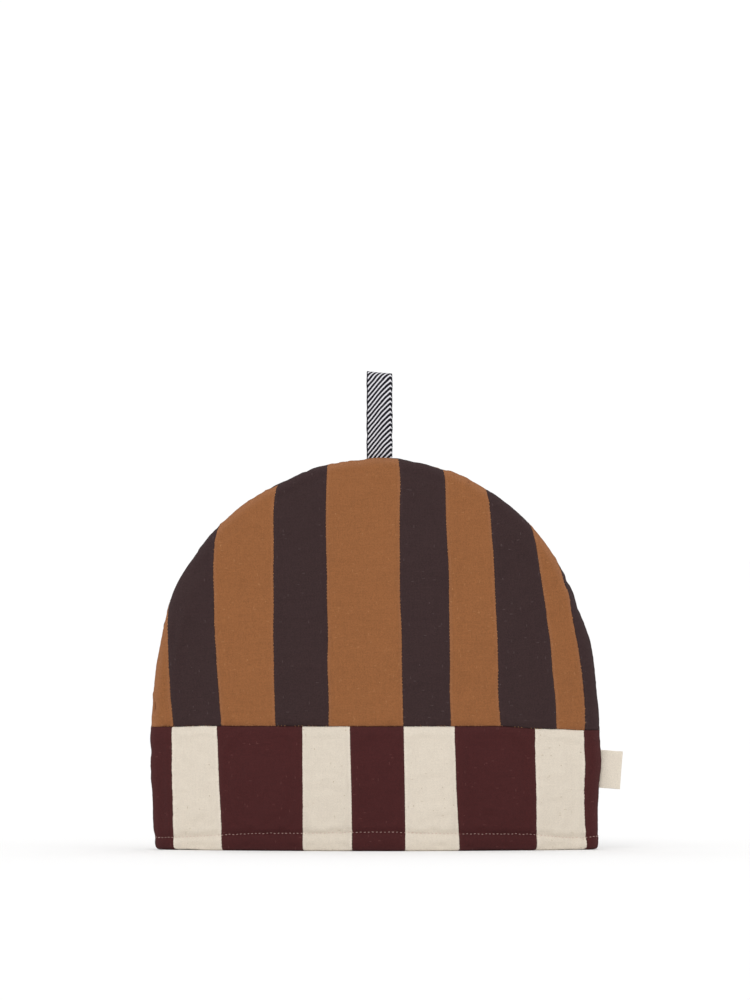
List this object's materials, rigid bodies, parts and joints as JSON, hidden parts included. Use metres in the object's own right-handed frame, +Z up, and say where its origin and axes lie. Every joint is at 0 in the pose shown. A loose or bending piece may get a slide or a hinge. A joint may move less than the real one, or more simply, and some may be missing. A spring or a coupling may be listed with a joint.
{
  "type": "tea cosy",
  "caption": "Padded dome-shaped tea cosy of striped pieced canvas with a contrasting striped band at the hem, a twill tape hanging loop and a bare side label, hollow and open below.",
  "frame": {"origin": "on the table, under the middle of the box round the whole thing, so the body's middle is 8 mm to the left of it and the label evens it out", "axes": "+Z up through the hanging loop, -Y out of the front panel, +X to the right seen from the front, towards the label"},
  "size_m": [0.3488, 0.124, 0.354],
  "materials": {
    "crown_cloth": "ochre cotton canvas pieced with dark plum strips",
    "band_cloth": "burgundy cotton canvas pieced with cream strips",
    "twill_tape": "black and white diagonal twill",
    "label_tape": "cream woven tape, bare"
  },
  "bodies": {
    "root": {"front_crown": "crown_cloth", "front_band": "band_cloth", "back_crown": "crown_cloth", "back_band": "band_cloth", "hanging_loop": "twill_tape", "side_label": "label_tape"}
  },
  "joints": []
}
